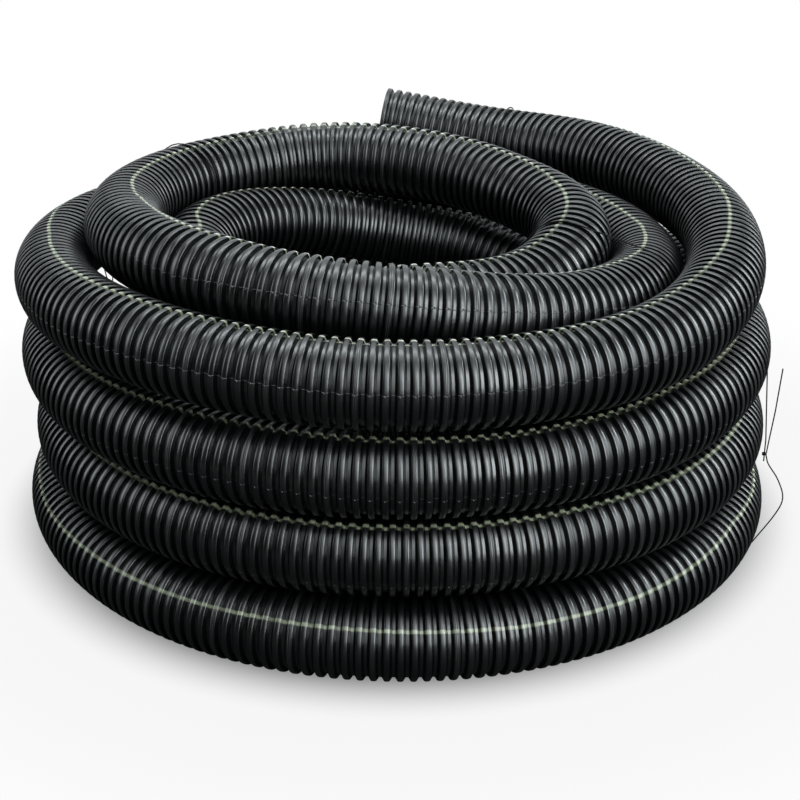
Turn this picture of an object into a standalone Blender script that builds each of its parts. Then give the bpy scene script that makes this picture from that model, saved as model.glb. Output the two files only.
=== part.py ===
"""A coil of corrugated plastic drainage pipe, wound on itself and held with thin plastic strands.

The pipe is one hollow length, swept along one winding route: down the inside, out at the floor
and up the outside. Z is up, the coil stands on z = 0 and the free end lies on top at +Y.
"""

import math

import bmesh
import bpy
import numpy as np
from mathutils import Matrix, Vector

# Pipe
PIPE_OD = 0.117
PIPE_R = PIPE_OD / 2
CORRUGATION_DEPTH = 0.006
CORRUGATION_PITCH = 0.0168
CREST_WIDTH = 0.0090
VALLEY_WIDTH = 0.0035
WALL = 0.0012
BORE_R = PIPE_R - CORRUGATION_DEPTH - WALL
OUTER_SIDES = 12
BORE_SIDES = 6

# Winding
RINGS_PER_TURN = 36
SMOOTHING_ANGLE = 44.0
END_CORRUGATIONS = 4

# Strands: a strand lies off the pipe by its clearance and crosses under the lowest turns in a
# valley between two corrugations, at these winding angles
STRAND_D = 0.002
STRAND_GAP = 0.0003
WRAP_CLEARANCE = 0.0013
WRAP_R = PIPE_R + WRAP_CLEARANCE + STRAND_D / 2
WRAP_STEP = 12.0
FLOOR_CROSSINGS = [1910, 2100]
HITCH_TURNS = 2
HITCH_R = STRAND_D + 3 * STRAND_GAP
HITCH_PITCH = STRAND_D + 2 * STRAND_GAP
HITCH_POINTS = 8
KNOT_REACH = 0.012

# The route: angle in degrees, clockwise from the far side as seen from above, then the
# distance from the coil's axis and the height, both to the middle of the pipe. Both are in
# route units, 117 to the pipe's diameter, so that the turns lie side by side at any diameter
ROUTE_UNIT = PIPE_OD / 117
WAYPOINTS = [
    # free end and the highest outer turn
    (-3, 610, 481), (15, 575, 454), (35, 548, 467), (60, 500, 467),
    (90, 487, 457), (135, 496, 426), (180, 511, 434), (225, 522, 449),
    (270, 523, 431), (295, 511, 421), (320, 475, 400), (345, 418, 413),
    # the inner ring that climbs on top
    (365, 386, 422), (405, 377, 409), (450, 375, 409), (495, 365, 434),
    (540, 375, 487), (585, 402, 509), (630, 421, 492), (652, 415, 487),
    (675, 393, 482), (697, 348, 493),
    # the top ring, which goes back down inside
    (720, 284, 495), (765, 246, 478), (810, 264, 463), (855, 246, 433),
    (900, 250, 444), (945, 274, 399), (990, 324, 430), (1012, 306, 432),
    (1035, 285, 414), (1080, 266, 370), (1125, 277, 342), (1170, 320, 296),
    (1200, 358, 308),
    # inner turns down to the floor
    (1410, 392, 294), (1440, 384, 301), (1460, 383, 282), (1490, 382, 195),
    (1815, 359, 170), (1850, 363, 59), (2127, 388, 59),
    # outer turns, from the floor up
    (2165, 497, 64), (2215, 515, 58), (2340, 522, 71), (2462, 534, 79),
    (2482, 518, 175), (2600, 510, 186), (2700, 505, 192), (2800, 513, 193),
    (2822, 504, 229), (2842, 508, 285), (2880, 530, 333), (3000, 505, 308),
    (3080, 513, 311), (3150, 525, 313),
]


def pair(distance, height):
    """A place in an upright plane through the coil's axis."""
    return np.array([distance, height])


def placed(distance, height):
    """A place in an upright plane through the coil's axis, given in route units."""
    return pair(distance, height) * ROUTE_UNIT


def wound_route(step=1.0):
    """Angles along the pipe and the points of its middle line, smoothed through the waypoints."""
    way = np.array(WAYPOINTS, dtype=float) * (1.0, ROUTE_UNIT, ROUTE_UNIT)
    margin = SMOOTHING_ANGLE
    angles = np.arange(way[0, 0] - margin, way[-1, 0] + margin + step, step)
    radii = np.interp(angles, way[:, 0], way[:, 1])
    heights = np.interp(angles, way[:, 0], way[:, 2])
    early = angles < way[0, 0]
    lead = (angles[early] - way[0, 0]) / (way[1, 0] - way[0, 0])
    radii[early] = way[0, 1] + lead * (way[1, 1] - way[0, 1])
    heights[early] = way[0, 2] + lead * (way[1, 2] - way[0, 2])
    window = np.hanning(int(SMOOTHING_ANGLE / step) + 1)
    window /= window.sum()
    radii = np.convolve(radii, window, "same")
    heights = np.convolve(heights, window, "same")
    kept = (angles >= way[0, 0]) & (angles <= way[-1, 0])
    turn = np.radians(angles[kept])
    points = np.stack(
        [radii[kept] * np.sin(turn), radii[kept] * np.cos(turn), heights[kept]], axis=1
    )
    return angles[kept], points


ROUTE_ANGLES, ROUTE_POINTS = wound_route()
ROUTE_TANGENTS = np.gradient(ROUTE_POINTS, axis=0)
ROUTE_LENGTHS = np.concatenate(
    [[0.0], np.cumsum(np.linalg.norm(np.diff(ROUTE_POINTS, axis=0), axis=1))]
)
FLOOR = ROUTE_POINTS[:, 2].min() - PIPE_R


def section_at(angle):
    """The pipe's middle, its outward direction and its upward direction at one angle."""
    middle = Vector([np.interp(angle, ROUTE_ANGLES, ROUTE_POINTS[:, k]) for k in range(3)])
    along = Vector([np.interp(angle, ROUTE_ANGLES, ROUTE_TANGENTS[:, k]) for k in range(3)])
    along.normalize()
    up = Vector((0.0, 0.0, 1.0))
    up -= along * up.dot(along)
    up.normalize()
    outward = up.cross(along)
    if outward.dot(Vector((middle.x, middle.y, 0.0))) < 0.0:
        outward = -outward
    return middle, outward, up


def angle_at(length):
    """The winding angle at a length along the pipe."""
    return float(np.interp(length, ROUTE_LENGTHS, ROUTE_ANGLES))


def length_at(angle):
    """The length along the pipe at a winding angle."""
    return float(np.interp(angle, ROUTE_ANGLES, ROUTE_LENGTHS))


def ring(mesh, angle, radius, sides):
    """One ring of points round the pipe's middle line, the first one straight outward."""
    middle, outward, up = section_at(angle)
    points = []
    for k in range(sides):
        turn = 2.0 * math.pi * k / sides
        offset = outward * math.cos(turn) + up * math.sin(turn)
        points.append(mesh.verts.new(middle + offset * radius))
    return points


def corrugation_stations(start, count):
    """Lengths and radii of the corners of a row of corrugations, the first crest at start."""
    flank = (CORRUGATION_PITCH - CREST_WIDTH - VALLEY_WIDTH) / 2
    valley_r = PIPE_R - CORRUGATION_DEPTH
    stations = []
    for k in range(count):
        at = start + k * CORRUGATION_PITCH
        stations.append((at, PIPE_R))
        stations.append((at + CREST_WIDTH, PIPE_R))
        stations.append((at + CREST_WIDTH + flank, valley_r))
        stations.append((at + CREST_WIDTH + flank + VALLEY_WIDTH, valley_r))
    stations.append((start + count * CORRUGATION_PITCH, PIPE_R))
    return stations


def valley_stations(middle):
    """Lengths and radii of the corners of one valley with its middle at a length."""
    flank = (CORRUGATION_PITCH - CREST_WIDTH - VALLEY_WIDTH) / 2
    half = VALLEY_WIDTH / 2
    return [
        (middle - half - flank, PIPE_R),
        (middle - half, PIPE_R - CORRUGATION_DEPTH),
        (middle + half, PIPE_R - CORRUGATION_DEPTH),
        (middle + half + flank, PIPE_R),
    ]


def outer_stations():
    """Lengths and radii of every outer ring: corrugated at the ends and plain between them."""
    total = ROUTE_LENGTHS[-1]
    row = END_CORRUGATIONS * CORRUGATION_PITCH
    zones = [
        corrugation_stations(0.0, END_CORRUGATIONS),
        corrugation_stations(total - row, END_CORRUGATIONS)[:-3] + [(total, PIPE_R)],
    ]
    zones += [valley_stations(length_at(angle)) for angle in FLOOR_CROSSINGS]
    stations = [station for zone in zones for station in zone]
    for angle in base_angles():
        at = length_at(angle)
        clear = all(at < z[0][0] - 0.01 or at > z[-1][0] + 0.01 for z in zones)
        if clear:
            stations.append((at, PIPE_R))
    return sorted(stations)


def base_angles():
    """The angles of the plain rings, the same in every turn."""
    spacing = 360.0 / RINGS_PER_TURN
    first = math.ceil(ROUTE_ANGLES[0] / spacing)
    last = math.floor(ROUTE_ANGLES[-1] / spacing)
    return [k * spacing for k in range(first, last + 1)]


def tube_wall(mesh, rings):
    """Faces between each ring and the next."""
    for a, b in zip(rings, rings[1:]):
        sides = len(a)
        for k in range(sides):
            n = (k + 1) % sides
            mesh.faces.new((a[k], a[n], b[n], b[k]))


def cut_face(mesh, outer, bore):
    """The flat cut end between the outer ring and the bore's ring."""
    share = len(outer) // len(bore)
    for k in range(len(bore)):
        arc = [outer[(k * share + j) % len(outer)] for j in range(share + 1)]
        mesh.faces.new(arc + [bore[(k + 1) % len(bore)], bore[k]])


def material(name, colour, roughness):
    """A Principled material of one colour."""
    made = bpy.data.materials.new(name)
    made.use_nodes = True
    shader = made.node_tree.nodes["Principled BSDF"]
    shader.inputs["Base Color"].default_value = (*colour, 1.0)
    shader.inputs["Roughness"].default_value = roughness
    return made


def build_pipe():
    """The whole wound pipe as one hollow solid, open at both ends."""
    mesh = bmesh.new()
    outer = [ring(mesh, angle_at(at), radius, OUTER_SIDES) for at, radius in outer_stations()]
    ends = [ROUTE_ANGLES[0], ROUTE_ANGLES[-1]]
    inside = [angle for angle in base_angles() if ends[0] + 2.0 < angle < ends[1] - 2.0]
    bore = [ring(mesh, angle, BORE_R, BORE_SIDES) for angle in [ends[0], *inside, ends[1]]]
    tube_wall(mesh, outer)
    tube_wall(mesh, bore)
    cut_face(mesh, outer[0], bore[0])
    cut_face(mesh, outer[-1], bore[-1])
    bmesh.ops.recalc_face_normals(mesh, faces=mesh.faces)
    data = bpy.data.meshes.new("drain_pipe")
    mesh.to_mesh(data)
    mesh.free()
    data.shade_smooth()
    data.set_sharp_from_angle(angle=math.radians(40.0))
    data.materials.append(material("pipe_plastic", (0.012, 0.013, 0.014), 0.35))
    made = bpy.data.objects.new("drain_pipe", data)
    bpy.context.scene.collection.objects.link(made)
    return made


def turn_centre(angle):
    """Distance from the coil's axis and height of the pipe's middle at one angle."""
    middle = section_at(angle)[0]
    return pair(math.hypot(middle.x, middle.y), middle.z)


def tangent_points(start, end, start_side, end_side):
    """Where a taut strand leaves one turn and meets the next, each turn on its own side."""
    between = end - start
    distance = float(np.linalg.norm(between))
    lean = math.asin(WRAP_R * (start_side - end_side) / distance)
    heading = math.atan2(between[1], between[0]) - lean
    left = np.array([-math.sin(heading), math.cos(heading)])
    return start + WRAP_R * start_side * left, end + WRAP_R * end_side * left


def wrap_arc(centre, arrive, leave, side):
    """Points round one turn between two tangent points, so that no chord cuts into the turn."""
    first = math.atan2(*(arrive - centre)[::-1])
    last = math.atan2(*(leave - centre)[::-1])
    swept = (last - first) % math.tau
    if side > 0:
        swept -= math.tau
    steps = max(1, round(math.degrees(abs(swept)) / WRAP_STEP))
    reach = WRAP_R / math.cos(swept / steps / 2)
    arc = [first + swept * k / steps for k in range(1, steps)]
    return [arrive] + [centre + reach * pair(math.cos(a), math.sin(a)) for a in arc] + [leave]


def wrapped(turns, start, end):
    """A taut strand from one point round the turns to another, in its plane.

    Each turn is a winding angle and a side: +1 where the strand holds it in, -1 where it
    passes between it and its neighbours.
    """
    centres = [turn_centre(angle) for angle, _ in turns]
    sides = [side for _, side in turns]
    path = [start]
    arrive = meet(start, centres[0], sides[0])
    for k, centre in enumerate(centres):
        if k + 1 < len(centres):
            leave, onward = tangent_points(centre, centres[k + 1], sides[k], sides[k + 1])
        else:
            leave, onward = meet(end, centre, -sides[k]), end
        path += wrap_arc(centre, arrive, leave, sides[k])
        arrive = onward
    path.append(end)
    return [pair(p[0], max(p[1], FLOOR + STRAND_D / 2 + STRAND_GAP)) for p in path]


def meet(point, centre, side):
    """Where a straight strand from a point touches a turn."""
    between = centre - point
    distance = float(np.linalg.norm(between))
    lean = math.asin(min(1.0, WRAP_R * side / distance))
    heading = math.atan2(between[1], between[0]) + lean
    left = np.array([-math.sin(heading), math.cos(heading)])
    return centre + WRAP_R * side * left


def strand(name, plane_angle, path, offsets=None):
    """A round strand through points (distance from the axis, height) in one upright plane."""
    turn = math.radians(plane_angle)
    outward = Vector((math.sin(turn), math.cos(turn), 0.0))
    sideways = Vector((math.cos(turn), -math.sin(turn), 0.0))
    data = bpy.data.curves.new(name, "CURVE")
    data.dimensions = "3D"
    data.bevel_depth = STRAND_D / 2
    data.bevel_resolution = 2
    data.use_fill_caps = True
    spline = data.splines.new("POLY")
    spline.points.add(len(path) - 1)
    for k, place in enumerate(path):
        at = outward * float(place[0]) + Vector((0.0, 0.0, float(place[1])))
        if offsets is not None:
            at += sideways * offsets[k]
        spline.points[k].co = (*at, 1.0)
    data.materials.append(material(name + "_plastic", (0.012, 0.012, 0.012), 0.45))
    made = bpy.data.objects.new(name, data)
    bpy.context.scene.collection.objects.link(made)
    return made


def hitch(knot):
    """The turns of a knot round the strand's own line, and how far each point stands aside."""
    points = []
    aside = []
    for k in range(HITCH_TURNS * HITCH_POINTS + 1):
        turn = math.tau * k / HITCH_POINTS
        drop = HITCH_PITCH * (k / HITCH_POINTS - HITCH_TURNS / 2)
        points.append(knot + pair(HITCH_R * math.cos(turn), -drop))
        aside.append(HITCH_R * math.sin(turn))
    return points, aside


def tied_strand(name, plane, turns, knot, tail, slack):
    """A strand in one upright plane: its tail, its knot, its slack and then round the turns."""
    hitched, aside = hitch(knot)
    above = knot + pair(0.0, 2 * KNOT_REACH)
    below = knot - pair(0.0, KNOT_REACH)
    body = wrapped(turns, slack[-1], above)
    path = tail + hitched + slack[:-1] + body + [below]
    offsets = [0.0] * len(tail) + aside
    offsets += [0.0] * (len(path) - len(offsets))
    return strand(name, plane, path, offsets)


def build_right_strand():
    """The strand at the right, whose slack hangs in a loop under its knot."""
    turns = [(2270, 1), (1910, 1), (830, 1), (470, 1), (110, -1), (2990, 1)]
    tail = [placed(589.5, 324), placed(585, 255), placed(580, 205)]
    slack = [placed(583, 168), placed(599, 145), placed(609, 116), placed(600, 86)]
    return tied_strand("strand_right", 110, turns, placed(575.5, 184), tail, slack)


def short_tied_strand(name, plane, turns, knot):
    """A strand with a short tail over its knot and no slack."""
    tail = [knot + pair(0.0165, 0.050), knot + pair(0.0125, 0.035), knot + pair(0.0065, 0.020)]
    slack = [knot - pair(0.0010, 0.018), knot - pair(0.0030, 0.035)]
    return tied_strand(name, plane, turns, knot, tail, slack)


def build_far_strand():
    """The strand at the far side, round the outer turns."""
    turns = [(2180, 1), (2900, 1), (20, 1)]
    return short_tied_strand("strand_far", 20, turns, placed(595.5, 250))


def build_left_strand():
    """The strand at the left, round everything but the lowered ring on the inside."""
    turns = [(2460, 1), (2100, 1), (1740, 1), (1380, 1), (1020, -1), (660, 1), (300, 1)]
    return short_tied_strand("strand_left", 300, turns, placed(579, 250))


def stand_on_origin(pieces, reference):
    """Move every piece so that the reference's box stands on the origin with its middle."""
    low = Vector([min(vertex.co[k] for vertex in reference.data.vertices) for k in range(3)])
    high = Vector([max(vertex.co[k] for vertex in reference.data.vertices) for k in range(3)])
    shift = Vector((-(low.x + high.x) / 2, -(low.y + high.y) / 2, -low.z))
    for piece in pieces:
        piece.data.transform(Matrix.Translation(shift))


def main():
    for old in list(bpy.data.objects):
        bpy.data.objects.remove(old)
    pipe = build_pipe()
    strands = [build_right_strand(), build_far_strand(), build_left_strand()]
    stand_on_origin([pipe, *strands], pipe)


main()
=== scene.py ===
"""The looks of a coil of corrugated plastic drainage pipe, tied with thin plastic strands.

The pipe's corrugations are swept along the same winding route as its solid, and its stripe and
mould marks are drawn by nodes that read a map of lengths laid on the pipe. The strands run
through the same points as their solids. Z is up and every length is in metres.
"""

import logging
import math
from dataclasses import dataclass, field
from enum import Enum

import bpy
import numpy as np
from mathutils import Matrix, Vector


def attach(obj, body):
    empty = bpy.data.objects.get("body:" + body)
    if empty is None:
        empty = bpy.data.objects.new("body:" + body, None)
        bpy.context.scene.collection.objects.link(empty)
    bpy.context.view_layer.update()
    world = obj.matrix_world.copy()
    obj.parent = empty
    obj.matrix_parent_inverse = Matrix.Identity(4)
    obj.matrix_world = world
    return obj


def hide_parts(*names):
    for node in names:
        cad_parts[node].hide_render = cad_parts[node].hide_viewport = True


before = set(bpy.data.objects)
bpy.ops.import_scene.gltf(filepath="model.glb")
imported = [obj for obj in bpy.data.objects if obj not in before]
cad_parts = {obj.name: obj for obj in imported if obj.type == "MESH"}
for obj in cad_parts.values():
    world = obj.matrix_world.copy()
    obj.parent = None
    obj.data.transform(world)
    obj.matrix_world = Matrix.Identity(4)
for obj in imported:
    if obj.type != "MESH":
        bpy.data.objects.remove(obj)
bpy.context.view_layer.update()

log = logging.getLogger("coil")

BODY = "root"
# Half of the pipe's diameter over its corrugations
PIPE_RADIUS = 0.0585


class Detail(Enum):
    """How finely a stretch of pipe is swept."""

    SHOWN = "shown"
    STACKED = "stacked"


class MapName(Enum):
    """The maps that the pipe's meshes carry."""

    LENGTHS = "PipeLengths"
    SHEET = "OFBake"


# The route


@dataclass(frozen=True)
class WoundRoute:
    """The middle line of the wound pipe, from its free end to its hidden end.

    A waypoint is a winding angle in degrees, clockwise from the far side, then the distance
    from the coil's axis and the height, both in millimetres.
    """

    waypoints: tuple[tuple[float, float, float], ...] = (
        (-3, 610, 481), (15, 575, 454), (35, 548, 467), (60, 500, 467),
        (90, 487, 457), (135, 496, 426), (180, 511, 434), (225, 522, 449),
        (270, 523, 431), (295, 511, 421), (320, 475, 400), (345, 418, 413),
        (365, 386, 422), (405, 377, 409), (450, 375, 409), (495, 365, 434),
        (540, 375, 487), (585, 402, 509), (630, 421, 492), (652, 415, 487),
        (675, 393, 482), (697, 348, 493),
        (720, 284, 495), (765, 246, 478), (810, 264, 463), (855, 246, 433),
        (900, 250, 444), (945, 274, 399), (990, 324, 430), (1012, 306, 432),
        (1035, 285, 414), (1080, 266, 370), (1125, 277, 342), (1170, 320, 296),
        (1200, 358, 308),
        (1410, 392, 294), (1440, 384, 301), (1460, 383, 282), (1490, 382, 195),
        (1815, 359, 170), (1850, 363, 59), (2127, 388, 59),
        (2165, 497, 64), (2215, 515, 58), (2340, 522, 71), (2462, 534, 79),
        (2482, 518, 175), (2600, 510, 186), (2700, 505, 192), (2800, 513, 193),
        (2822, 504, 229), (2842, 508, 285), (2880, 530, 333), (3000, 505, 308),
        (3080, 513, 311), (3150, 525, 313),
    )
    smoothing: float = 44.0
    shift: tuple[float, float, float] = (0.0069451, -0.0432415, -0.0003171)

    def table(self) -> tuple[np.ndarray, np.ndarray]:
        """Work out the route at every degree.

        Returns:
            The winding angles in degrees, and the points of the middle line before the shift.
        """
        way = np.array(self.waypoints, dtype=float) * (1.0, 0.001, 0.001)
        angles = np.arange(way[0, 0] - self.smoothing, way[-1, 0] + self.smoothing + 1.0, 1.0)
        early = angles < way[0, 0]
        lead = (angles[early] - way[0, 0]) / (way[1, 0] - way[0, 0])
        kept = (angles >= way[0, 0]) & (angles <= way[-1, 0])
        window = np.hanning(int(self.smoothing) + 1)
        window /= window.sum()
        smooth = []
        for column in (1, 2):
            row = np.interp(angles, way[:, 0], way[:, column])
            row[early] = way[0, column] + lead * (way[1, column] - way[0, column])
            smooth.append(np.convolve(row, window, "same")[kept])
        radii, heights = smooth
        turn = np.radians(angles[kept])
        points = np.stack([radii * np.sin(turn), radii * np.cos(turn), heights], axis=1)
        return angles[kept], points


class RouteReader:
    """Reads places, directions and lengths off a wound route."""

    def __init__(self, route: WoundRoute) -> None:
        """Work out the route once.

        Args:
            route: The route to read.
        """
        self.angles, self.points = route.table()
        self.tangents = np.gradient(self.points, axis=0)
        steps = np.linalg.norm(np.diff(self.points, axis=0), axis=1)
        self.lengths = np.concatenate([[0.0], np.cumsum(steps)])
        self.shift = np.array(route.shift)
        self.floor = float(self.points[:, 2].min()) - PIPE_RADIUS

    @property
    def total(self) -> float:
        """The whole length of the route."""
        return float(self.lengths[-1])

    def length_at(self, angle: float) -> float:
        """The length along the route at a winding angle."""
        return float(np.interp(angle, self.angles, self.lengths))

    def angles_at(self, lengths: np.ndarray) -> np.ndarray:
        """The winding angles at lengths along the route."""
        return np.interp(lengths, self.lengths, self.angles)

    def sections(self, lengths: np.ndarray) -> tuple[np.ndarray, np.ndarray, np.ndarray]:
        """Find the pipe's cross-sections at lengths along it.

        Args:
            lengths: The lengths along the route, in metres.

        Returns:
            The middles in the part's frame, and the outward and upward unit directions.
        """
        at = self.angles_at(lengths)
        middles = np.stack([np.interp(at, self.angles, self.points[:, k]) for k in range(3)], 1)
        along = np.stack([np.interp(at, self.angles, self.tangents[:, k]) for k in range(3)], 1)
        along /= np.linalg.norm(along, axis=1)[:, None]
        up = np.array([0.0, 0.0, 1.0]) - along * along[:, 2:3]
        up /= np.linalg.norm(up, axis=1)[:, None]
        outward = np.cross(up, along)
        radial = middles * (1.0, 1.0, 0.0)
        outward *= np.sign((outward * radial).sum(1))[:, None]
        return middles + self.shift, outward, up

    def turn_centre(self, angle: float) -> np.ndarray:
        """The distance from the coil's axis and the height of the pipe's middle at an angle."""
        middle = [float(np.interp(angle, self.angles, self.points[:, k])) for k in range(3)]
        return np.array([math.hypot(middle[0], middle[1]), middle[2]])


# Shader nodes

Socket = bpy.types.NodeSocket


class NodeWriter:
    """Adds nodes to a shader tree in a few words."""

    def __init__(self, tree: bpy.types.NodeTree) -> None:
        """Keep the tree, of a material or a group, that is written to."""
        self.tree = tree

    def add(self, kind: str) -> bpy.types.Node:
        """Add a shader node of a kind, such as Bump."""
        return self.tree.nodes.new("ShaderNode" + kind)

    def feed(self, socket: Socket, value: object) -> None:
        """Set a socket, or link it where the value is itself a socket.

        Args:
            socket: The input to fill.
            value: A number, a tuple or an output socket.
        """
        if isinstance(value, Socket):
            self.tree.links.new(value, socket)
        else:
            socket.default_value = value

    def fill(self, node: bpy.types.Node, **values: object) -> bpy.types.Node:
        """Fill a node's inputs by name.

        Args:
            node: The node.
            **values: What its inputs take, with underscores for spaces.

        Returns:
            The node.
        """
        for name, value in values.items():
            self.feed(node.inputs[name.replace("_", " ")], value)
        return node

    def calculate(self, kind: str, operation: str, *values: object) -> bpy.types.Node:
        """Add a node that calculates.

        Args:
            kind: Math or VectorMath.
            operation: The node's operation.
            *values: What its inputs take, in order.

        Returns:
            The node.
        """
        node = self.add(kind)
        node.operation = operation
        for socket, value in zip(node.inputs, values):
            self.feed(socket, value)
        return node

    def math(self, operation: str, *values: object) -> Socket:
        """Add a Math node and give its result."""
        return self.calculate("Math", operation, *values).outputs[0]

    def band(self, value: object, middle: float, half: float, soft: float) -> Socket:
        """Mask a band: 1 within half a width of its middle, fading over a soft edge."""
        apart = self.math("ABSOLUTE", self.math("SUBTRACT", value, middle))
        return self.ramp(apart, half + soft / 2, half - soft / 2)

    def ramp(self, value: object, low: float, high: float,
             to_low: float = 0.0, to_high: float = 1.0) -> Socket:
        """Add a smooth Map Range node.

        Args:
            value: The socket that is mapped.
            low: Where the result is to_low.
            high: Where the result is to_high.
            to_low: The result at low.
            to_high: The result at high.

        Returns:
            The node's result.
        """
        node = self.add("MapRange")
        node.interpolation_type = "SMOOTHSTEP"
        if low > high:
            low, high, to_low, to_high = high, low, to_high, to_low
        self.fill(node, Value=value, From_Min=low, From_Max=high, To_Min=to_low, To_Max=to_high)
        return node.outputs["Result"]

    def noise(self, vector: object, scale: object, detail: float = 2.0,
              roughness: float = 0.5) -> Socket:
        """Add a Noise Texture node.

        Args:
            vector: Where the noise is read.
            scale: Its scale, per metre.
            detail: Its octaves.
            roughness: How strong the fine octaves are.

        Returns:
            The noise's value.
        """
        node = self.add("TexNoise")
        self.fill(node, Vector=vector, Scale=scale, Detail=detail, Roughness=roughness)
        return node.outputs[0]

    def mix(self, share: object, first: object, second: object) -> Socket:
        """Mix two colours.

        Args:
            share: How much of the second colour there is.
            first: The first colour.
            second: The second colour.

        Returns:
            The mixed colour.
        """
        node = self.add("Mix")
        node.data_type = "RGBA"
        for name, given in (("Factor_Float", share), ("A_Color", first), ("B_Color", second)):
            socket = next(s for s in node.inputs if s.identifier == name)
            self.feed(socket, given)
        return next(s for s in node.outputs if s.identifier == "Result_Color")

    def bump(self, height: object, distance: float, normal: object = None) -> Socket:
        """Add a Bump node.

        Args:
            height: The height, 1 for the whole distance.
            distance: How high 1 is, in metres.
            normal: The normal that it works on, if it isn't the surface's own.

        Returns:
            The changed normal.
        """
        node = self.fill(self.add("Bump"), Distance=distance, Height=height)
        if normal is not None:
            self.fill(node, Normal=normal)
        return node.outputs["Normal"]

    def group(self, tree: bpy.types.NodeTree, **values: object) -> bpy.types.Node:
        """Place a node group.

        Args:
            tree: The group's tree.
            **values: What its inputs take, with underscores for spaces.

        Returns:
            The group's node.
        """
        node = self.add("Group")
        node.node_tree = tree
        return self.fill(node, **values)


def new_material(name: str) -> tuple[bpy.types.Material, NodeWriter, bpy.types.Node, Socket]:
    """Make a material.

    Args:
        name: The material's name.

    Returns:
        The material, a writer for its tree, its shader and the place on the piece.
    """
    made = bpy.data.materials.new(name)
    made.use_nodes = True
    write = NodeWriter(made.node_tree)
    shader = made.node_tree.nodes["Principled BSDF"]
    return made, write, shader, write.add("TexCoord").outputs["Object"]


# Finishes


@dataclass(frozen=True)
class HandlingWear:
    """Dust and fine scuffs from storage and handling, shared by everything on the coil."""

    name: str = "handling_wear"
    broad_scale: float = 9.0
    fine_scale: float = 420.0
    speck_scale: float = 900.0

    def tree(self) -> bpy.types.NodeTree:
        """Build the group, or find it if it is built.

        Returns:
            The group's tree, with outputs Dust, Scuffs and Height.
        """
        if self.name in bpy.data.node_groups:
            return bpy.data.node_groups[self.name]
        tree = bpy.data.node_groups.new(self.name, "ShaderNodeTree")
        face = tree.interface
        face.new_socket("Place", in_out="INPUT", socket_type="NodeSocketVector")
        face.new_socket("Scale", in_out="INPUT", socket_type="NodeSocketFloat").default_value = 1.0
        for name in ("Dust", "Scuffs", "Height"):
            face.new_socket(name, in_out="OUTPUT", socket_type="NodeSocketFloat")
        write = NodeWriter(tree)
        given = tree.nodes.new("NodeGroupInput").outputs
        place, scale = given["Place"], given["Scale"]
        broad = write.noise(place, write.math("MULTIPLY", scale, self.broad_scale), 3.0)
        fine = write.noise(place, write.math("MULTIPLY", scale, self.fine_scale), 4.0, 0.7)
        speck = write.noise(place, write.math("MULTIPLY", scale, self.speck_scale), 1.0)
        dust = write.math("MULTIPLY", write.ramp(broad, 0.35, 0.75), write.ramp(fine, 0.4, 0.7))
        scuffs = write.math("MULTIPLY", write.ramp(broad, 0.3, 0.6), write.ramp(speck, 0.6, 0.78))
        write.fill(tree.nodes.new("NodeGroupOutput"), Dust=dust, Scuffs=scuffs, Height=fine)
        return tree


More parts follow.
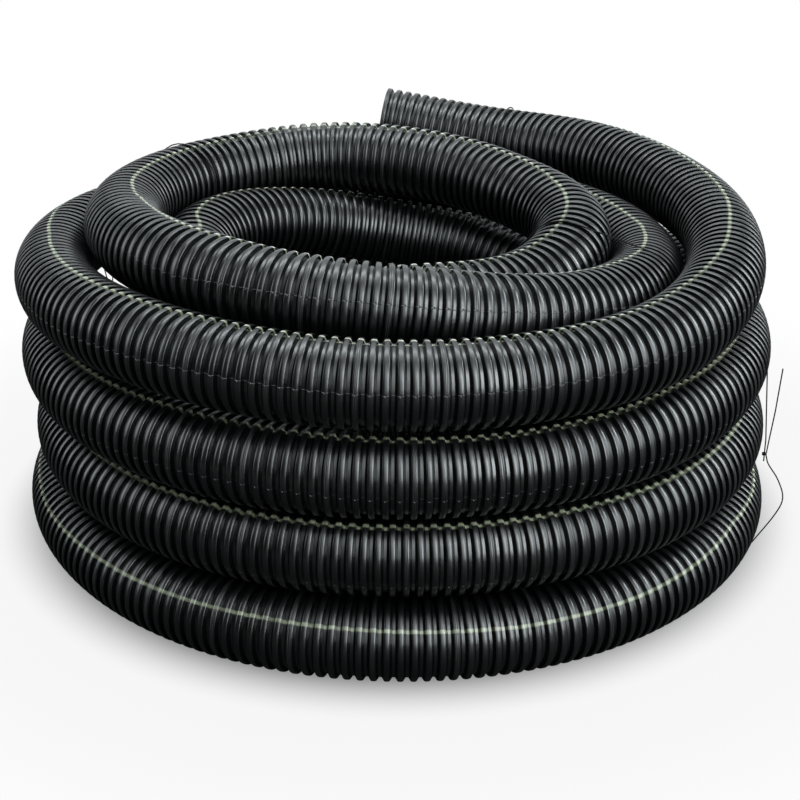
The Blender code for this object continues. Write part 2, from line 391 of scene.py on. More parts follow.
@dataclass(frozen=True)
class PipeFinish:
    """Black polyethylene with a pale stripe, mould marks, dust and scuffs, with painted highlights
    on the stripe at the rims and on the parting line.

    A band is its middle, half its width and its soft edge, in corrugations from the middle of
    the nearest crest. Every other width and height is in metres.
    """

    pitch: float
    crest_phase: float
    colour: tuple[float, float, float] = (0.0012, 0.0015, 0.0016)
    dusty: tuple[float, float, float] = (0.0046, 0.0049, 0.0049)
    stripe: tuple[float, float, float] = (0.25, 0.275, 0.185)
    seam_and_highlight: tuple[float, float, float] = (0.13, 0.14, 0.137)
    stripe_rim_highlight: tuple[float, float, float] = (0.94, 0.95, 0.80)
    rough: float = 0.30
    gloss: float = 1.0
    stripe_width: float = 0.0050
    stripe_soft: float = 0.0028
    stripe_wander: float = 0.0016
    parting_place: float = -0.0888
    parting_width: float = 0.0006
    parting_soft: float = 0.0010
    low_turns: tuple[float, float] = (8.0, 14.0)
    low_seam: float = 0.35
    pit_radius: float = 0.0009
    pit_soft: float = 0.0016
    flank_band: tuple[float, float, float] = (0.31, 0.07, 0.06)
    groove_band: tuple[float, float, float] = (0.07, 0.018, 0.03)
    block_crests: float = 6.0
    undercut: float = 2.4
    relief_height: float = 0.0012
    drawn_height: float = 0.0001
    wear_height: float = 0.00006

    def stripe_mask(self, write: NodeWriter, around: Socket, place: Socket,
                    flank: Socket) -> Socket:
        """Mask the stripe, which wanders a little and is fainter on the flanks, partly as a
        thinner stripe stretched there and partly as painted shade between the crests.

        Args:
            write: The material's writer.
            around: The distance round the pipe from the stripe.
            place: The place on the piece.
            flank: The mask of the crests' flanks.

        Returns:
            The mask.
        """
        wander = write.noise(place, 60.0, 2.0)
        aside = write.math("MULTIPLY_ADD", wander, self.stripe_wander, -self.stripe_wander / 2)
        moved = write.math("ADD", around, aside)
        line = write.band(moved, 0.0, self.stripe_width / 2, self.stripe_soft)
        line = write.math("MULTIPLY", line, write.ramp(wander, 0.3, 0.6, 0.6, 1.0))
        # Fainter on the flanks: partly a thinner stretched stripe, partly painted shade between
        # the crests
        return write.math("MULTIPLY", line, write.math("MULTIPLY_ADD", flank, -0.3, 1.0))

    def parting_masks(self, write: NodeWriter, along: Socket, around: Socket,
                      from_crest: Socket, flank: Socket) -> tuple[Socket, Socket]:
        """Mask the parting line where the mould halves meet: a low ridge with a painted highlight,
        left off the flanks and fainter on the low turns.

        Args:
            write: The material's writer.
            along: The length along the pipe.
            around: The distance round the pipe from the stripe.
            from_crest: The distance from the middle of the nearest crest, in corrugations.
            flank: The mask of the crests' flanks.

        Returns:
            The masks of its low ridge with its painted highlight, and of its pit on each crest.
        """
        beside = write.math("SUBTRACT", around, self.parting_place)
        seam_and_highlight = write.band(beside, 0.0, self.parting_width / 2, self.parting_soft)
        seam_and_highlight = write.math("MULTIPLY", seam_and_highlight, write.math("SUBTRACT", 1.0, flank))
        faint = write.ramp(along, *self.low_turns, 1.0, self.low_seam)
        sideways = write.math("MULTIPLY", from_crest, self.pitch)
        reach = write.math("SQRT", write.math("ADD", write.math("MULTIPLY", beside, beside),
                                              write.math("MULTIPLY", sideways, sideways)))
        pit = write.band(reach, 0.0, self.pit_radius, self.pit_soft)
        return write.math("MULTIPLY", seam_and_highlight, faint), pit

    def material(self) -> bpy.types.Material:
        """Build the material.

        Returns:
            The pipe's material.
        """
        made, write, shader, place = new_material("pipe_plastic_dressed")
        lengths = write.add("UVMap")
        lengths.uv_map = MapName.LENGTHS.value
        along, around, _ = write.fill(write.add("SeparateXYZ"), Vector=lengths.outputs[0]).outputs
        wear = write.group(HandlingWear().tree(), Place=place, Scale=1.0)
        dust, scuffs = wear.outputs["Dust"], wear.outputs["Scuffs"]

        # Distance from the nearest crest's middle, and each crest's number in its mould block
        count = write.math("SUBTRACT", write.math("DIVIDE", along, self.pitch), self.crest_phase)
        number = write.math("FLOOR", write.math("ADD", count, 0.5))
        from_crest = write.math("SUBTRACT", count, number)
        in_block = write.math("FLOORED_MODULO", number, self.block_crests)
        apart = write.math("ABSOLUTE", from_crest)
        flank = write.band(apart, *self.flank_band)
        line = self.stripe_mask(write, around, place, flank)
        seam_and_highlight, pit = self.parting_masks(write, along, around, from_crest, flank)

        # Mould joints: two fine grooves along the crest that ends each block
        grooves = write.band(apart, *self.groove_band)
        grooves = write.math("MULTIPLY", grooves, write.band(in_block, 0.0, 0.4, 0.1))

        facing = write.add("LayerWeight").outputs["Facing"]
        plain = write.mix(dust, (*self.colour, 1.0), (*self.dusty, 1.0))
        # Painted highlight: the parting ridge is painted pale grey, as if it caught the light
        plain = write.mix(seam_and_highlight, plain, (*self.seam_and_highlight, 1.0))
        # Painted highlight: the stripe turns near white where it is seen edge-on, at the turns'
        # rims
        painted = write.mix(write.ramp(facing, 0.60, 0.85), (*self.stripe, 1.0),
                            (*self.stripe_rim_highlight, 1.0))
        rough = write.math("MULTIPLY_ADD", dust, 0.12, self.rough)
        rough = write.math("MULTIPLY_ADD", scuffs, 0.15, rough)
        rough = write.math("MULTIPLY", rough, write.math("MULTIPLY_ADD", flank, -0.5, 1.0))
        rough = write.math("MULTIPLY_ADD", write.math("MAXIMUM", grooves, pit), 0.4, rough)

        # Relief: the parting ridge, grooves and pits, and flanks that look steeper than they are
        relief = write.math("MULTIPLY_ADD", grooves, -0.3, write.math("MULTIPLY", seam_and_highlight, 0.6))
        relief = write.math("SUBTRACT", relief, write.math("MULTIPLY", pit, 1.3))
        steep = write.ramp(apart, 0.175, 0.40, 0.0, self.undercut)
        normal = write.bump(write.math("SUBTRACT", relief, steep), self.relief_height)
        drawn = write.calculate("VectorMath", "MULTIPLY", lengths.outputs[0], (1.0, 0.05, 1.0))
        drawn = write.noise(drawn.outputs["Vector"], 700.0, 2.0)
        normal = write.bump(drawn, self.drawn_height, normal)
        normal = write.bump(wear.outputs["Height"], self.wear_height, normal)
        write.fill(shader, Base_Color=write.mix(line, plain, painted), Roughness=rough,
                   Specular_IOR_Level=self.gloss, Normal=normal)
        return made


@dataclass(frozen=True)
class StrandFinish:
    """Dull black polypropylene of a thin strand."""

    name: str
    colour: tuple[float, float, float] = (0.003, 0.003, 0.003)
    dusty: tuple[float, float, float] = (0.02, 0.02, 0.02)
    rough: float = 0.65
    gloss: float = 0.2
    wear_height: float = 0.00005

    def material(self) -> bpy.types.Material:
        """Build the material.

        Returns:
            The strand's material.
        """
        made, write, shader, place = new_material(self.name)
        wear = write.group(HandlingWear().tree(), Place=place, Scale=2.0)
        dust = wear.outputs["Dust"]
        write.fill(shader, Base_Color=write.mix(dust, (*self.colour, 1.0), (*self.dusty, 1.0)),
                   Roughness=write.math("MULTIPLY_ADD", dust, 0.2, self.rough),
                   Specular_IOR_Level=self.gloss,
                   Normal=write.bump(wear.outputs["Height"], self.wear_height))
        return made


@dataclass(frozen=True)
class FloorFinish:
    """A plain white studio floor that shows white to the camera and keeps soft shadows.

    Its own colour is near black, so it throws little light back onto the coil. To the camera it
    shows white, except under the coil, where the white is left out as a painted shadow, with a
    painted pool of light in the coil's eye. The painted shadow pales from footprint to
    footprint_edge, and the floor is white from clear_from outwards. In the pipe's gloss it glows
    faintly white only far from the coil, a painted reflection of a lit floor.
    """

    colour: tuple[float, float, float] = (0.03, 0.03, 0.03)
    rough: float = 0.9
    gloss: float = 0.1
    shadow_share: float = 0.08
    footprint: float = 0.50
    footprint_edge: float = 0.66
    clear_from: float = 1.20
    eye_middle: float = 0.05
    eye_edge: float = 0.32
    eye_painted_light: float = 0.5
    gloss_glow_from: float = 1.0
    gloss_glow_to: float = 2.4
    gloss_glow_share: float = 0.10

    def material(self) -> bpy.types.Material:
        """Build the material.

        Returns:
            The floor's material.
        """
        made, write, shader, place = new_material("floor_white")
        write.fill(shader, Base_Color=(*self.colour, 1.0), Roughness=self.rough,
                   Specular_IOR_Level=self.gloss)
        away = write.calculate("VectorMath", "LENGTH", place).outputs["Value"]
        # Painted shadow: the camera's white is left out under the coil and fades in from footprint
        # to footprint_edge, with a painted pool of light in the coil's eye
        near = write.ramp(away, self.footprint, self.footprint_edge, 0.0, 1.0 - self.shadow_share)
        far = write.ramp(away, self.footprint_edge, self.clear_from, 0.0, self.shadow_share)
        bright = write.math("ADD", write.math("ADD", near, far),
                            write.ramp(away, self.eye_middle, self.eye_edge, self.eye_painted_light, 0.0))
        path = write.add("LightPath")
        share = write.math("MULTIPLY", path.outputs["Is Camera Ray"], bright)
        # Painted reflection: far from the coil the floor glows faintly white in the pipe's gloss
        gloss_glow = write.ramp(away, self.gloss_glow_from, self.gloss_glow_to, 0.0, self.gloss_glow_share)
        share = write.math("MULTIPLY_ADD", path.outputs["Is Glossy Ray"], gloss_glow, share)
        glow = write.fill(write.add("Emission"), Strength=1.0)
        mixed = write.add("MixShader")
        for socket, given in zip(mixed.inputs, (share, shader.outputs[0], glow.outputs[0])):
            write.feed(socket, given)
        surface = made.node_tree.nodes["Material Output"].inputs["Surface"]
        write.feed(surface, mixed.outputs[0])
        return made


# Meshes and the pipe


@dataclass(frozen=True)
class GridMesh:
    """A tube's mesh, made of rows of points round it.

    The rows are an array of rows by sides by three, with each row's length along the pipe.
    Start is the distance round the pipe from the stripe to a row's first point, and reach is
    the distance once round. The flat sheet, its second map, is cut into strips.
    """

    rows: np.ndarray
    lengths: np.ndarray
    start: float
    reach: float
    strips: int = 3
    end_margin: float = 0.01
    side_margin: float = 0.015

    def build(self, name: str, creased: np.ndarray) -> bpy.types.Mesh:
        """Make the mesh with its two maps.

        Args:
            name: The mesh's name.
            creased: Whether each row is a crease in the tube's smooth surface.

        Returns:
            The mesh.
        """
        count, sides = self.rows.shape[:2]
        i, k = np.meshgrid(np.arange(count - 1), np.arange(sides), indexing="ij")
        i, k = i.ravel(), k.ravel()
        corner_i = np.stack([i, i, i + 1, i + 1], 1)
        corner_k = np.stack([k, k + 1, k + 1, k], 1)
        mesh = bpy.data.meshes.new(name)
        mesh.vertices.add(count * sides)
        mesh.vertices.foreach_set("co", self.rows.astype(np.float32).ravel())
        mesh.loops.add(4 * len(i))
        index = corner_i * sides + corner_k % sides
        mesh.loops.foreach_set("vertex_index", index.astype(np.int32).ravel())
        mesh.polygons.add(len(i))
        mesh.polygons.foreach_set("loop_start", np.arange(0, 4 * len(i), 4, dtype=np.int32))
        mesh.update(calc_edges=True)
        lay = np.stack(
            [self.lengths[corner_i], self.start + self.reach * corner_k / sides], axis=-1
        )
        self._map(mesh, MapName.LENGTHS, lay)
        middle = self.rows.mean(1)
        away = np.linalg.norm(self.rows[:, 0] - middle, axis=1)
        steps = np.hypot(np.linalg.norm(np.diff(middle, axis=0), axis=1), np.diff(away))
        run = np.concatenate([[0.0], np.cumsum(steps)])
        run *= self.strips / run[-1]
        strip = np.minimum(self.strips - 1, np.floor((run[i] + run[i + 1]) / 2))[:, None]
        across = np.clip(run[corner_i] - strip, 0.0, 1.0)
        across = self.end_margin + (1.0 - 2 * self.end_margin) * across
        rise = self.side_margin + (1.0 - 2 * self.side_margin) * corner_k / sides
        self._map(mesh, MapName.SHEET, np.stack([across, (strip + rise) / self.strips], axis=-1))
        mesh.shade_smooth()
        ends = np.zeros(2 * len(mesh.edges), dtype=np.int32)
        mesh.edges.foreach_get("vertices", ends)
        row = ends.reshape(-1, 2) // sides
        sharp = (row[:, 0] == row[:, 1]) & creased[row[:, 0]]
        crease = mesh.attributes.new("sharp_edge", "BOOLEAN", "EDGE")
        crease.data.foreach_set("value", sharp)
        mesh.validate()
        return mesh

    @staticmethod
    def _map(mesh: bpy.types.Mesh, name: MapName, places: np.ndarray) -> None:
        """Write one map of the mesh's corners."""
        layer = mesh.uv_layers.new(name=name.value)
        layer.uv.foreach_set("vector", places.astype(np.float32).ravel())


def add_object(name: str, data: bpy.types.ID) -> bpy.types.Object:
    """Put an object in the scene.

    Args:
        name: The object's name.
        data: Its mesh, curve, light or camera.

    Returns:
        The object.
    """
    made = bpy.data.objects.new(name, data)
    bpy.context.scene.collection.objects.link(made)
    return made


def link_piece(name: str, data: bpy.types.ID, material: bpy.types.Material,
               node: str) -> bpy.types.Object:
    """Put a piece in the scene in place of a CAD node.

    Args:
        name: The piece's name.
        data: Its mesh or curve.
        material: Its material.
        node: The CAD node that it stands for.

    Returns:
        The piece.
    """
    data.materials.append(material)
    made = add_object(name, data)
    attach(made, BODY)
    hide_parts(node)
    return made


@dataclass(frozen=True)
class Stretch:
    """One stretch of the pipe, between two winding angles."""

    name: str
    first: float
    last: float
    detail: Detail = Detail.SHOWN


@dataclass
class CorrugatedPipe:
    """The whole pipe, swept in stretches that meet in the valleys between its corrugations.

    A profile gives places along one corrugation, in pitches from the crest's middle, and how
    much lower than the crest they are. The stripe's places are winding angles and the stripe's
    angles round the pipe, from outward towards up.
    """

    route: RouteReader
    crest_radius: float = 0.0584
    pitch: float = 0.0168
    wall: float = 0.0012
    crest_half: float = 0.23
    inner_depth: float = 0.30
    end_trim: float = 0.0005
    end_drop: float = 0.0004
    crest_crease: float = 0.2175
    valley_crease: float = 0.40
    crease_reach: float = 0.008
    last_crest: int = field(init=False)
    sides: dict[Detail, int] = field(
        default_factory=lambda: {Detail.SHOWN: 46, Detail.STACKED: 26}
    )
    profiles: dict[Detail, tuple[tuple[float, float], ...]] = field(default_factory=lambda: {
        Detail.SHOWN: ((-0.40, -0.0060), (-0.215, -0.0008), (-0.16, -0.0003), (-0.08, 0.0),
                       (0.08, 0.0), (0.16, -0.0003), (0.215, -0.0008), (0.40, -0.0060)),
        Detail.STACKED: ((-0.40, -0.0060), (-0.215, -0.0012), (-0.08, 0.0),
                         (0.08, 0.0), (0.215, -0.0012), (0.40, -0.0060)),
    })
    stretches: tuple[Stretch, ...] = (
        Stretch("pipe_upper_turn", -3, 345),
        Stretch("pipe_climbing_ring", 345, 697),
        Stretch("pipe_top_ring", 697, 1200),
        Stretch("pipe_inner_turns", 1200, 2127, Detail.STACKED),
        Stretch("pipe_foot_turn", 2127, 2480),
        Stretch("pipe_third_turn", 2480, 2830),
        Stretch("pipe_second_turn", 2830, 3150),
    )
    stripe_places: tuple[tuple[float, float], ...] = (
        (-3, 70), (40, 74), (89, 82.5), (98, 88.5), (107, 90.5), (119, 97), (128, 101),
        (142, 99), (173, 97), (187, 97), (200, 98), (205, 98), (210.5, 96), (216.5, 93),
        (223, 91), (231, 88), (260, 87), (271.5, 76.5), (282, 61), (330, 66), (400, 92),
        (420, 98), (436, 99), (445, 94), (470, 93), (478, 95), (500, 109), (520, 112),
        (548, 112), (565, 109.5), (574, 106), (582, 99), (591, 103), (606, 117.5),
        (615, 115.5), (618, 110), (629, 104), (658, 102.5), (720, 92), (769.5, 87),
        (790, 98.5), (807.5, 101.5), (825, 99.5), (900, 100), (989, 101.5), (995, 92),
        (1004, 86), (1014, 82), (1100, 80),
        (2200, 45), (2266, 41), (2279, 48), (2288, 41.5), (2296, 38), (2304, 35.5),
        (2324, 35.5), (2330, 38), (2345, 41.5), (2360, 42.5), (2372, 40.5), (2392, 39.5),
        (2407, 36.5), (2414, 39.5), (2500, 50), (2657, 62.5), (2669, 65), (2744, 65),
        (2850, 70), (3005, 79), (3015, 82), (3029, 78), (3045, 76), (3059, 77),
        (3075, 82), (3082, 84), (3096, 82), (3111, 78), (3150, 72),
    )

    def __post_init__(self) -> None:
        """Fit a whole number of corrugations, with a crest at each cut end."""
        count = round(self.route.total / self.pitch - 2 * self.crest_half)
        self.pitch = self.route.total / (count + 2 * self.crest_half)
        self.last_crest = count

    def stripe_at(self, lengths: np.ndarray) -> np.ndarray:
        """The stripe's place round the pipe, in radians from outward towards up."""
        table = np.array(self.stripe_places, dtype=float)
        return np.radians(np.interp(self.route.angles_at(lengths), table[:, 0], table[:, 1]))

    def valley_before(self, angle: float) -> int:
        """The number of the crest whose leading valley is nearest to a winding angle."""
        return round(self.route.length_at(angle) / self.pitch - self.crest_half + 0.5)

    def corrugations(self, first: int, last: int, detail: Detail) -> tuple[np.ndarray, np.ndarray]:
        """List the rings of some corrugations.

        Args:
            first: The number of the first crest.
            last: The number after the last crest's.
            detail: How finely they are drawn.

        Returns:
            The rings' lengths along the pipe and their radii.
        """
        shape = np.array(self.profiles[detail])
        crests = np.arange(first, last)[:, None] + self.crest_half
        lengths = ((crests + shape[None, :, 0]) * self.pitch).ravel()
        return lengths, np.tile(self.crest_radius + shape[:, 1], last - first)

    def profile_rows(self, stretch: Stretch) -> tuple[np.ndarray, np.ndarray]:
        """List the rings of one stretch.

        Args:
            stretch: The stretch.

        Returns:
            The rings' lengths along the pipe and their radii.
        """
        total = self.route.total
        first = 0 if stretch is self.stretches[0] else self.valley_before(stretch.first)
        last = self.last_crest + 1
        if stretch is not self.stretches[-1]:
            last = self.valley_before(stretch.last)
        lengths, radii = self.corrugations(first, last, stretch.detail)
        deep = radii[0]
        edge = self.crest_radius - self.end_drop
        kept = (lengths > self.end_trim) & (lengths < total - self.end_trim)
        head = (0.0, edge) if first == 0 else ((first - 0.5 + self.crest_half) * self.pitch, deep)
        tail = (total, edge)
        if last <= self.last_crest:
            tail = ((last - 0.5 + self.crest_half) * self.pitch, deep)
        lengths = np.concatenate([[head[0]], lengths[kept], [tail[0]]])
        return lengths, np.concatenate([[head[1]], radii[kept], [tail[1]]])

    def rings(self, lengths: np.ndarray, radii: np.ndarray, sides: int) -> np.ndarray:
        """Place rings of points round the route, each starting opposite the stripe.

        Args:
            lengths: The rings' lengths along the pipe.
            radii: Their radii.
            sides: How many points each has.

        Returns:
            The points, as rings by sides by three.
        """
        middles, outward, up = self.route.sections(lengths)
        turn = np.linspace(-math.pi, math.pi, sides, endpoint=False)[None, :]
        turn = turn + self.stripe_at(lengths)[:, None]
        offset = np.cos(turn)[..., None] * outward[:, None] + np.sin(turn)[..., None] * up[:, None]
        return middles[:, None] + offset * radii[:, None, None]

    def end_lining(self, at_start: bool) -> tuple[np.ndarray, np.ndarray]:
        """List the rings of the cut face and the bore behind it.

        Args:
            at_start: Whether it is the free end, and not the hidden one.

        Returns:
            The rings' lengths along the pipe and their radii.
        """
        depth, radii = self.corrugations(0, int(self.inner_depth / self.pitch), Detail.SHOWN)
        edge = self.crest_radius - self.end_drop
        kept = depth > self.end_trim
        depth = np.concatenate([[0.0, 0.0], depth[kept]])
        radii = np.concatenate([[edge, edge - self.wall], radii[kept] - self.wall])
        if not at_start:
            depth = self.route.total - depth
        return depth, radii

    def build(self) -> list[bpy.types.Object]:
        """Sweep every stretch and line both ends.

        Returns:
            The pieces.
        """
        finish = PipeFinish(self.pitch, self.crest_half).material()
        pieces = []
        for stretch in self.stretches:
            lengths, radii = self.profile_rows(stretch)
            sides = self.sides[stretch.detail]
            pieces.append(self.tube(stretch.name, lengths, radii, sides, finish))
        for name, at_start in (("pipe_free_bore", True), ("pipe_hidden_bore", False)):
            lengths, radii = self.end_lining(at_start)
            pieces.append(self.tube(name, lengths, radii, self.sides[Detail.SHOWN], finish))
        return pieces

    def tube(self, name: str, lengths: np.ndarray, radii: np.ndarray, sides: int,
             finish: bpy.types.Material) -> bpy.types.Object:
        """Make one piece of the pipe.

        Args:
            name: The piece's name.
            lengths: Its rings' lengths along the pipe.
            radii: Their radii.
            sides: How many points each ring has.
            finish: The pipe's material.

        Returns:
            The piece.
        """
        rows = self.rings(lengths, radii, sides)
        round_pipe = math.tau * PIPE_RADIUS
        grid = GridMesh(rows, lengths, -round_pipe / 2, round_pipe)
        mesh = grid.build(name, self.creases(lengths))
        lining = "bore" in name
        if self.looks_inward(mesh, rows) != lining:
            mesh.flip_normals()
        return link_piece(name, mesh, finish, "drain_pipe")

    def creases(self, lengths: np.ndarray) -> np.ndarray:
        """Find the rings that are an edge of a crest or of a valley floor.

        Args:
            lengths: The rings' lengths along the pipe.

        Returns:
            Whether each ring is one.
        """
        place = lengths / self.pitch - self.crest_half
        apart = np.abs(place - np.round(place))
        on_crest = np.abs(apart - self.crest_crease) < self.crease_reach
        return on_crest | (np.abs(apart - self.valley_crease) < self.crease_reach)

    @staticmethod
    def looks_inward(mesh: bpy.types.Mesh, rows: np.ndarray) -> bool:
        """Whether the middle face of a tube looks towards the tube's own middle line."""
        face = mesh.polygons[len(mesh.polygons) // 2]
        return face.normal.dot(face.center - Vector(rows[len(rows) // 2].mean(0))) < 0.0


# Strands


def pair(distance: float, height: float) -> np.ndarray:
    """A place in an upright plane through the coil's axis."""
    return np.array([distance, height])


@dataclass(frozen=True)
class Strand:
    """A thin strand in one upright plane, taut round some turns and tied at its knot.

    Each turn is a winding angle and a side: +1 where the strand holds it in, -1 where it
    passes between it and its neighbours. Without a tail of its own, the strand has the plain
    tail and slack, whose places are given from its knot.
    """

    name: str
    plane: float
    turns: tuple[tuple[float, int], ...]
    knot: tuple[float, float]
    length: float
    tail: tuple[tuple[float, float], ...] = ()
    slack: tuple[tuple[float, float], ...] = ()
    plain_tail: tuple[tuple[float, float], ...] = (
        (0.0165, 0.050), (0.0125, 0.035), (0.0065, 0.020)
    )
    plain_slack: tuple[tuple[float, float], ...] = ((-0.0010, -0.018), (-0.0030, -0.035))
    diameter: float = 0.002
    gap: float = 0.0003
    clearance: float = 0.0013
    wrap_step: float = 12.0
    hitch_turns: int = 2
    hitch_points: int = 8
    bow_steps: int = 5
    knot_reach: float = 0.012

    @property
    def wrap_radius(self) -> float:
        """The strand's distance from the middle of a turn that it lies round."""
        return PIPE_RADIUS + self.clearance + self.diameter / 2

    def touch(self, point: np.ndarray, centre: np.ndarray, side: int) -> np.ndarray:
        """Find where a straight strand from a point touches a turn.

        Args:
            point: Where it comes from.
            centre: The turn's middle.
            side: The side of the turn that it passes.

        Returns:
            The place where it touches.
        """
        between = centre - point
        distance = float(np.linalg.norm(between))
        lean = math.asin(min(1.0, self.wrap_radius * side / distance))
        heading = math.atan2(between[1], between[0]) + lean
        return centre + self.wrap_radius * side * pair(-math.sin(heading), math.cos(heading))

    def crossing(self, start: np.ndarray, end: np.ndarray, start_side: int,
                 end_side: int) -> tuple[np.ndarray, np.ndarray]:
        """Find where the strand leaves one turn and meets the next.

        Args:
            start: The middle of the turn that it leaves.
            end: The middle of the turn that it meets.
            start_side: The side of the first turn that it passes.
            end_side: The side of the second turn that it passes.

        Returns:
            Where it leaves and where it meets.
        """
        between = end - start
        distance = float(np.linalg.norm(between))
        lean = math.asin(self.wrap_radius * (start_side - end_side) / distance)
        heading = math.atan2(between[1], between[0]) - lean
        left = pair(-math.sin(heading), math.cos(heading))
        reach = self.wrap_radius
        return start + reach * start_side * left, end + reach * end_side * left

    def arc(self, centre: np.ndarray, arrive: np.ndarray, leave: np.ndarray,
            side: int) -> list[np.ndarray]:
        """List points round one turn, so that no chord cuts into it.

        Args:
            centre: The turn's middle.
            arrive: Where the strand meets it.
            leave: Where the strand leaves it.
            side: The side of the turn that it passes.

        Returns:
            The points.
        """
        first = math.atan2(*(arrive - centre)[::-1])
        last = math.atan2(*(leave - centre)[::-1])
        swept = (last - first) % math.tau
        if side > 0:
            swept -= math.tau
        steps = max(1, round(math.degrees(abs(swept)) / self.wrap_step))
        reach = self.wrap_radius / math.cos(swept / steps / 2)
        round_turn = [first + swept * k / steps for k in range(1, steps)]
        between = [centre + reach * pair(math.cos(a), math.sin(a)) for a in round_turn]
        return [arrive, *between, leave]

    def wrapped(self, route: RouteReader, start: np.ndarray, end: np.ndarray) -> list[np.ndarray]:
        """Lead the strand from one point round its turns to another.

        Args:
            route: The pipe's route.
            start: Where it starts.
            end: Where it ends.

        Returns:
            Its points.
        """
        centres = [route.turn_centre(angle) for angle, _ in self.turns]
        sides = [side for _, side in self.turns]
        path = [start]
        arrive = self.touch(start, centres[0], sides[0])
        for k, centre in enumerate(centres):
            if k + 1 < len(centres):
                leave, onward = self.crossing(centre, centres[k + 1], sides[k], sides[k + 1])
            else:
                leave, onward = self.touch(end, centre, -sides[k]), end
            path += self.arc(centre, arrive, leave, sides[k])
            arrive = onward
        path.append(end)
        lowest = route.floor + self.diameter / 2 + self.gap
        return [pair(p[0], max(p[1], lowest)) for p in path]

    def hitch(self, knot: np.ndarray) -> tuple[list[np.ndarray], list[float]]:
        """Wind the knot's turns round the strand's own line.

        Args:
            knot: The knot's middle.

        Returns:
            Its points, and how far each stands aside from the strand's plane.
        """
        radius = self.diameter + 3 * self.gap
        pitch = self.diameter + 2 * self.gap
        points, aside = [], []
        for k in range(self.hitch_turns * self.hitch_points + 1):
            turn = math.tau * k / self.hitch_points
            drop = pitch * (k / self.hitch_points - self.hitch_turns / 2)
            points.append(knot + pair(radius * math.cos(turn), -drop))
            aside.append(radius * math.sin(turn))
        return points, aside

    def bowed(self, marks: list[np.ndarray]) -> list[np.ndarray]:
        """Bend a slack length smoothly through its marks.

        Args:
            marks: The places that it passes, with the two ends that it joins.

        Returns:
            Its points between the two ends.
        """
        ends = [2 * marks[0] - marks[1], *marks, 2 * marks[-1] - marks[-2]]
        points = []
        for before, start, end, after in zip(ends, ends[1:], ends[2:], ends[3:]):
            for k in range(self.bow_steps):
                t = k / self.bow_steps
                bend = t * (2 * before - 5 * start + 4 * end - after)
                bend = bend + t * t * (3 * start - before - 3 * end + after)
                points.append(start + 0.5 * t * (end - before + bend))
        return points[1:]

    def points(self, route: RouteReader) -> list[Vector]:
        """Work out the strand's line in the part's frame.

        Args:
            route: The pipe's route.

        Returns:
            Its points, from its tail to its knot.
        """
        knot = pair(*self.knot)
        tail = [pair(*p) for p in self.tail]
        slack = [pair(*p) for p in self.slack]
        if not tail:
            tail = [knot + pair(*p) for p in self.plain_tail]
            slack = [knot + pair(*p) for p in self.plain_slack]
        hitched, aside = self.hitch(knot)
        above = knot + pair(0.0, 2 * self.knot_reach)
        below = knot - pair(0.0, self.knot_reach)
        wound = self.wrapped(route, slack[-1], above)
        bow = self.bowed([hitched[-1], *slack, wound[1]])
        path = tail + hitched + bow + wound[1:] + [below]
        offsets = [0.0] * len(tail) + aside
        offsets += [0.0] * (len(path) - len(offsets))
        turn = math.radians(self.plane)
        outward = Vector((math.sin(turn), math.cos(turn), 0.0))
        sideways = Vector((math.cos(turn), -math.sin(turn), 0.0))
        shift = Vector(route.shift)
        return [
            shift + outward * float(p[0]) + Vector((0.0, 0.0, float(p[1]))) + sideways * aside_by
            for p, aside_by in zip(path, offsets)
        ]

    def build(self, route: RouteReader) -> bpy.types.Object:
        """Args:
            route: The pipe's route.

        Returns:
            The piece.
        """
        line = self.points(route)
        data = bpy.data.curves.new(self.name, "CURVE")
        data.dimensions = "3D"
        data.bevel_depth = self.diameter / 2
        data.bevel_resolution = 3
        data.use_fill_caps = True
        spline = data.splines.new("POLY")
        spline.points.add(len(line) - 1)
        for point, place in zip(spline.points, line):
            point.co = (*place, 1.0)
        spline.use_smooth = True
        finish = StrandFinish(self.name + "_dressed").material()
        made = link_piece(self.name + "_line", data, finish, self.name)
        return made


STRANDS = (
    Strand("strand_right", 110,
           ((2270, 1), (1910, 1), (830, 1), (470, 1), (110, -1), (2990, 1)),
           (0.5755, 0.184), 1.688,
           ((0.5895, 0.324), (0.5850, 0.255), (0.5800, 0.205)),
           ((0.5830, 0.168), (0.5990, 0.145), (0.6090, 0.116), (0.6000, 0.086))),
    Strand("strand_far", 20, ((2180, 1), (2900, 1), (20, 1)), (0.5955, 0.250), 1.288),
    Strand("strand_left", 300,
           ((2460, 1), (2100, 1), (1740, 1), (1380, 1), (1020, -1), (660, 1), (300, 1)),
           (0.5790, 0.250), 1.510),
)


# Studio


@dataclass(frozen=True)
class SoftLight:
    """A rectangular soft light that looks at one place."""

    name: str
    place: tuple[float, float, float]
    aim: tuple[float, float, float]
    width: float
    depth: float
    power: float
    colour: tuple[float, float, float] = (0.93, 1.0, 1.03)

    def build(self) -> bpy.types.Object:
        """Make the light.

        Returns:
            The light's object.
        """
        data = bpy.data.lights.new(self.name, "AREA")
        data.shape = "RECTANGLE"
        data.size = self.width
        data.size_y = self.depth
        data.energy = self.power
        data.color = self.colour
        made = add_object(self.name, data)
        made.location = self.place
        made.visible_camera = False
        heading = Vector(self.aim) - Vector(self.place)
        made.rotation_euler = heading.to_track_quat("-Z", "Y").to_euler()
        return made


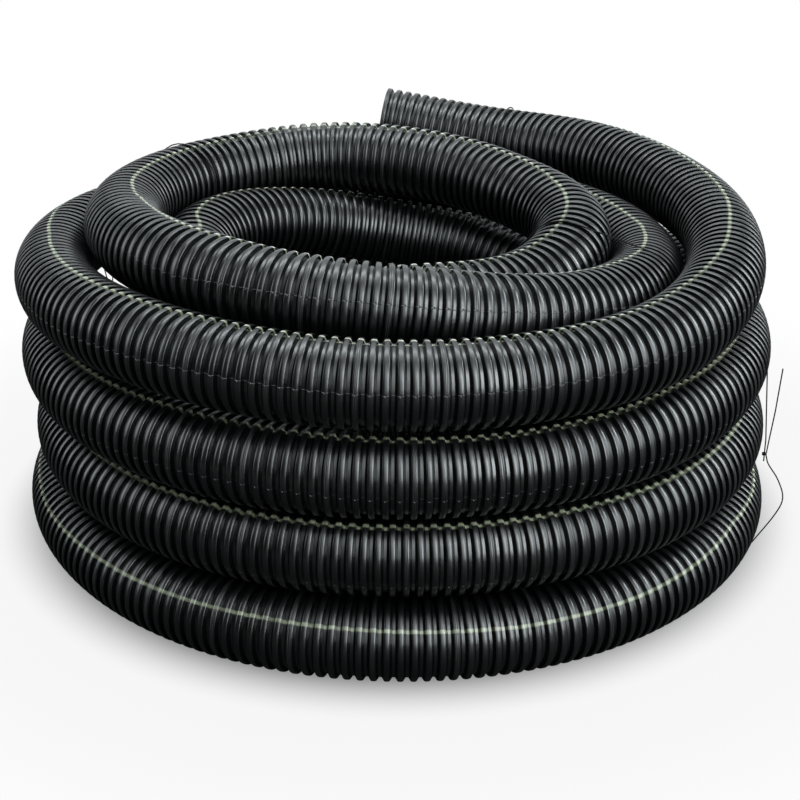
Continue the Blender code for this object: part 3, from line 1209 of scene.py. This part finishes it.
@dataclass(frozen=True)
class Studio:
    """The camera, the floor, the lights and the air round the coil."""

    camera_place: tuple[float, float, float] = (0.00365, -2.41724, 1.25948)
    camera_drop: float = 24.40
    camera_pan: float = 0.00057
    lens: float = 73.31
    sensor: float = 36.0
    floor_size: float = 40.0
    floor_drop: float = 0.0005
    air: float = 0.02
    lights: tuple[SoftLight, ...] = (
        SoftLight("light_front", (1.5, -4.0, 2.65), (0.0, 0.0, 0.35), 5.2, 3.6, 94.0),
        SoftLight("light_streak", (1.9, -3.4, 2.3), (0.0, -0.2, 0.35), 0.9, 3.4, 86.0),
        SoftLight("light_upper_front", (0.6, -2.7, 4.3), (0.0, -0.1, 0.35), 4.4, 2.6, 57.0),
        SoftLight("light_above", (0.0, 0.6, 4.3), (0.0, 0.1, 0.3), 4.0, 2.8, 54.0),
        SoftLight("light_above_streak", (0.0, 1.1, 4.2), (0.0, 0.1, 0.3), 4.6, 0.6, 70.0),
        SoftLight("light_right", (4.0, -0.6, 1.9), (0.0, 0.0, 0.3), 4.0, 2.6, 112.0),
        SoftLight("light_right_streak", (3.8, 1.0, 2.4), (0.0, 0.0, 0.35), 0.8, 2.6, 74.0),
        SoftLight("light_left", (-4.0, 0.3, 1.9), (0.0, 0.0, 0.3), 3.4, 2.6, 64.0),
        SoftLight("light_upper_behind", (0.0, 3.1, 3.9), (0.0, 0.0, 0.35), 6.0, 2.2, 42.0),
        SoftLight("light_behind", (0.0, 4.6, 1.7), (0.0, 0.0, 0.4), 9.0, 2.9, 90.0),
    )

    def build_camera(self) -> None:
        """Set up the camera at the photographed angle."""
        data = bpy.data.cameras.new("camera")
        data.sensor_width = self.sensor
        data.lens = self.lens
        made = add_object("camera", data)
        made.location = self.camera_place
        made.rotation_euler = (math.radians(90.0 - self.camera_drop), 0.0, -self.camera_pan)
        bpy.context.scene.camera = made

    def build_floor(self) -> None:
        """Lay the floor just under the coil."""
        half = self.floor_size / 2
        mesh = bpy.data.meshes.new("floor")
        mesh.from_pydata(
            [(-half, -half, 0.0), (half, -half, 0.0), (half, half, 0.0), (-half, half, 0.0)],
            [], [(0, 1, 2, 3)],
        )
        mesh.materials.append(FloorFinish().material())
        floor = add_object("floor", mesh)
        floor.location.z = -self.floor_drop

    def build_air(self) -> None:
        """Fill the air with a faint light and show white behind the floor."""
        world = bpy.data.worlds.new("air")
        bpy.context.scene.world = world
        world.use_nodes = True
        write = NodeWriter(world.node_tree)
        seen = write.add("LightPath").outputs["Is Camera Ray"]
        strength = write.math("MULTIPLY_ADD", seen, 1.0 - self.air, self.air)
        back = world.node_tree.nodes["Background"]
        write.fill(back, Color=(1.0, 1.0, 1.0, 1.0), Strength=strength)
        bpy.context.scene.view_settings.view_transform = "Standard"


def main() -> None:
    """Build the studio and the coil, and report each piece."""
    logging.basicConfig(level=logging.INFO, format="%(name)s: %(message)s")
    studio = Studio()
    studio.build_camera()
    route = RouteReader(WoundRoute())
    pieces = [strand.build(route) for strand in STRANDS]
    pieces += CorrugatedPipe(route).build()
    for piece in pieces:
        faces = len(piece.data.polygons) if piece.type == "MESH" else 0
        log.info("%s: %d faces", piece.name, faces)
    studio.build_floor()
    for light in studio.lights:
        light.build()
    studio.build_air()


if __name__ == "__main__":
    main()
